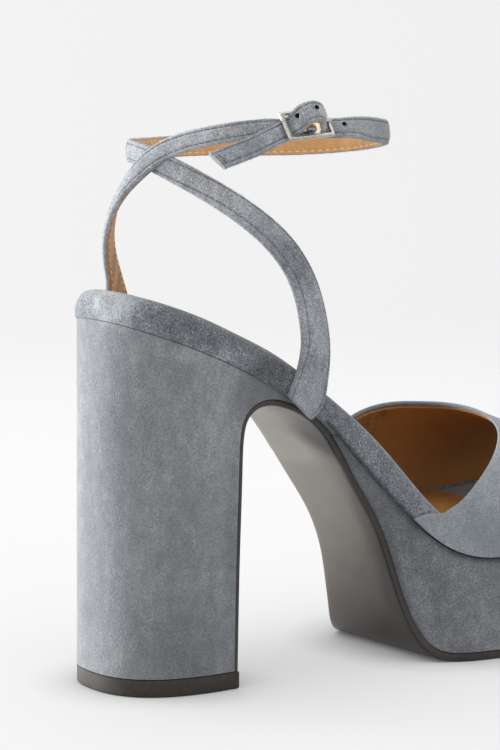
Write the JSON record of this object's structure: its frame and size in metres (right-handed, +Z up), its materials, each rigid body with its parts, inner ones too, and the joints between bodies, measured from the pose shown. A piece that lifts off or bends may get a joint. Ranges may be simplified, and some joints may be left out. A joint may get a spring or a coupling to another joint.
{
  "type": "platform sandal",
  "caption": "Open-toed platform sandal for a right foot: suede-covered block heel and platform, peep-toe vamp, and an ankle strap that crosses behind the heel and buckles at the outer side.",
  "frame": {"origin": "on the floor, under the middle of the shoe's box", "axes": "+X from the back of the heel to the toe, +Y to the inner (medial) side of the foot, +Z up"},
  "size_m": [0.221, 0.0852, 0.1875],
  "materials": {
    "suede": "matte grey-blue suede with a short nap",
    "lining_leather": "smooth tan lining leather",
    "sole_leather": "satin dark grey",
    "top_piece_rubber": "satin black-brown",
    "buckle_metal": "polished silver colour"
  },
  "bodies": {
    "root": {"heel_block": "suede", "heel_top_piece": "top_piece_rubber", "outsole": "sole_leather", "platform": "suede", "footbed": "suede", "sock_lining": "lining_leather", "vamp": "suede", "ankle_strap": "suede", "buckle_frame": "buckle_metal", "buckle_prong": "buckle_metal"}
  },
  "joints": []
}
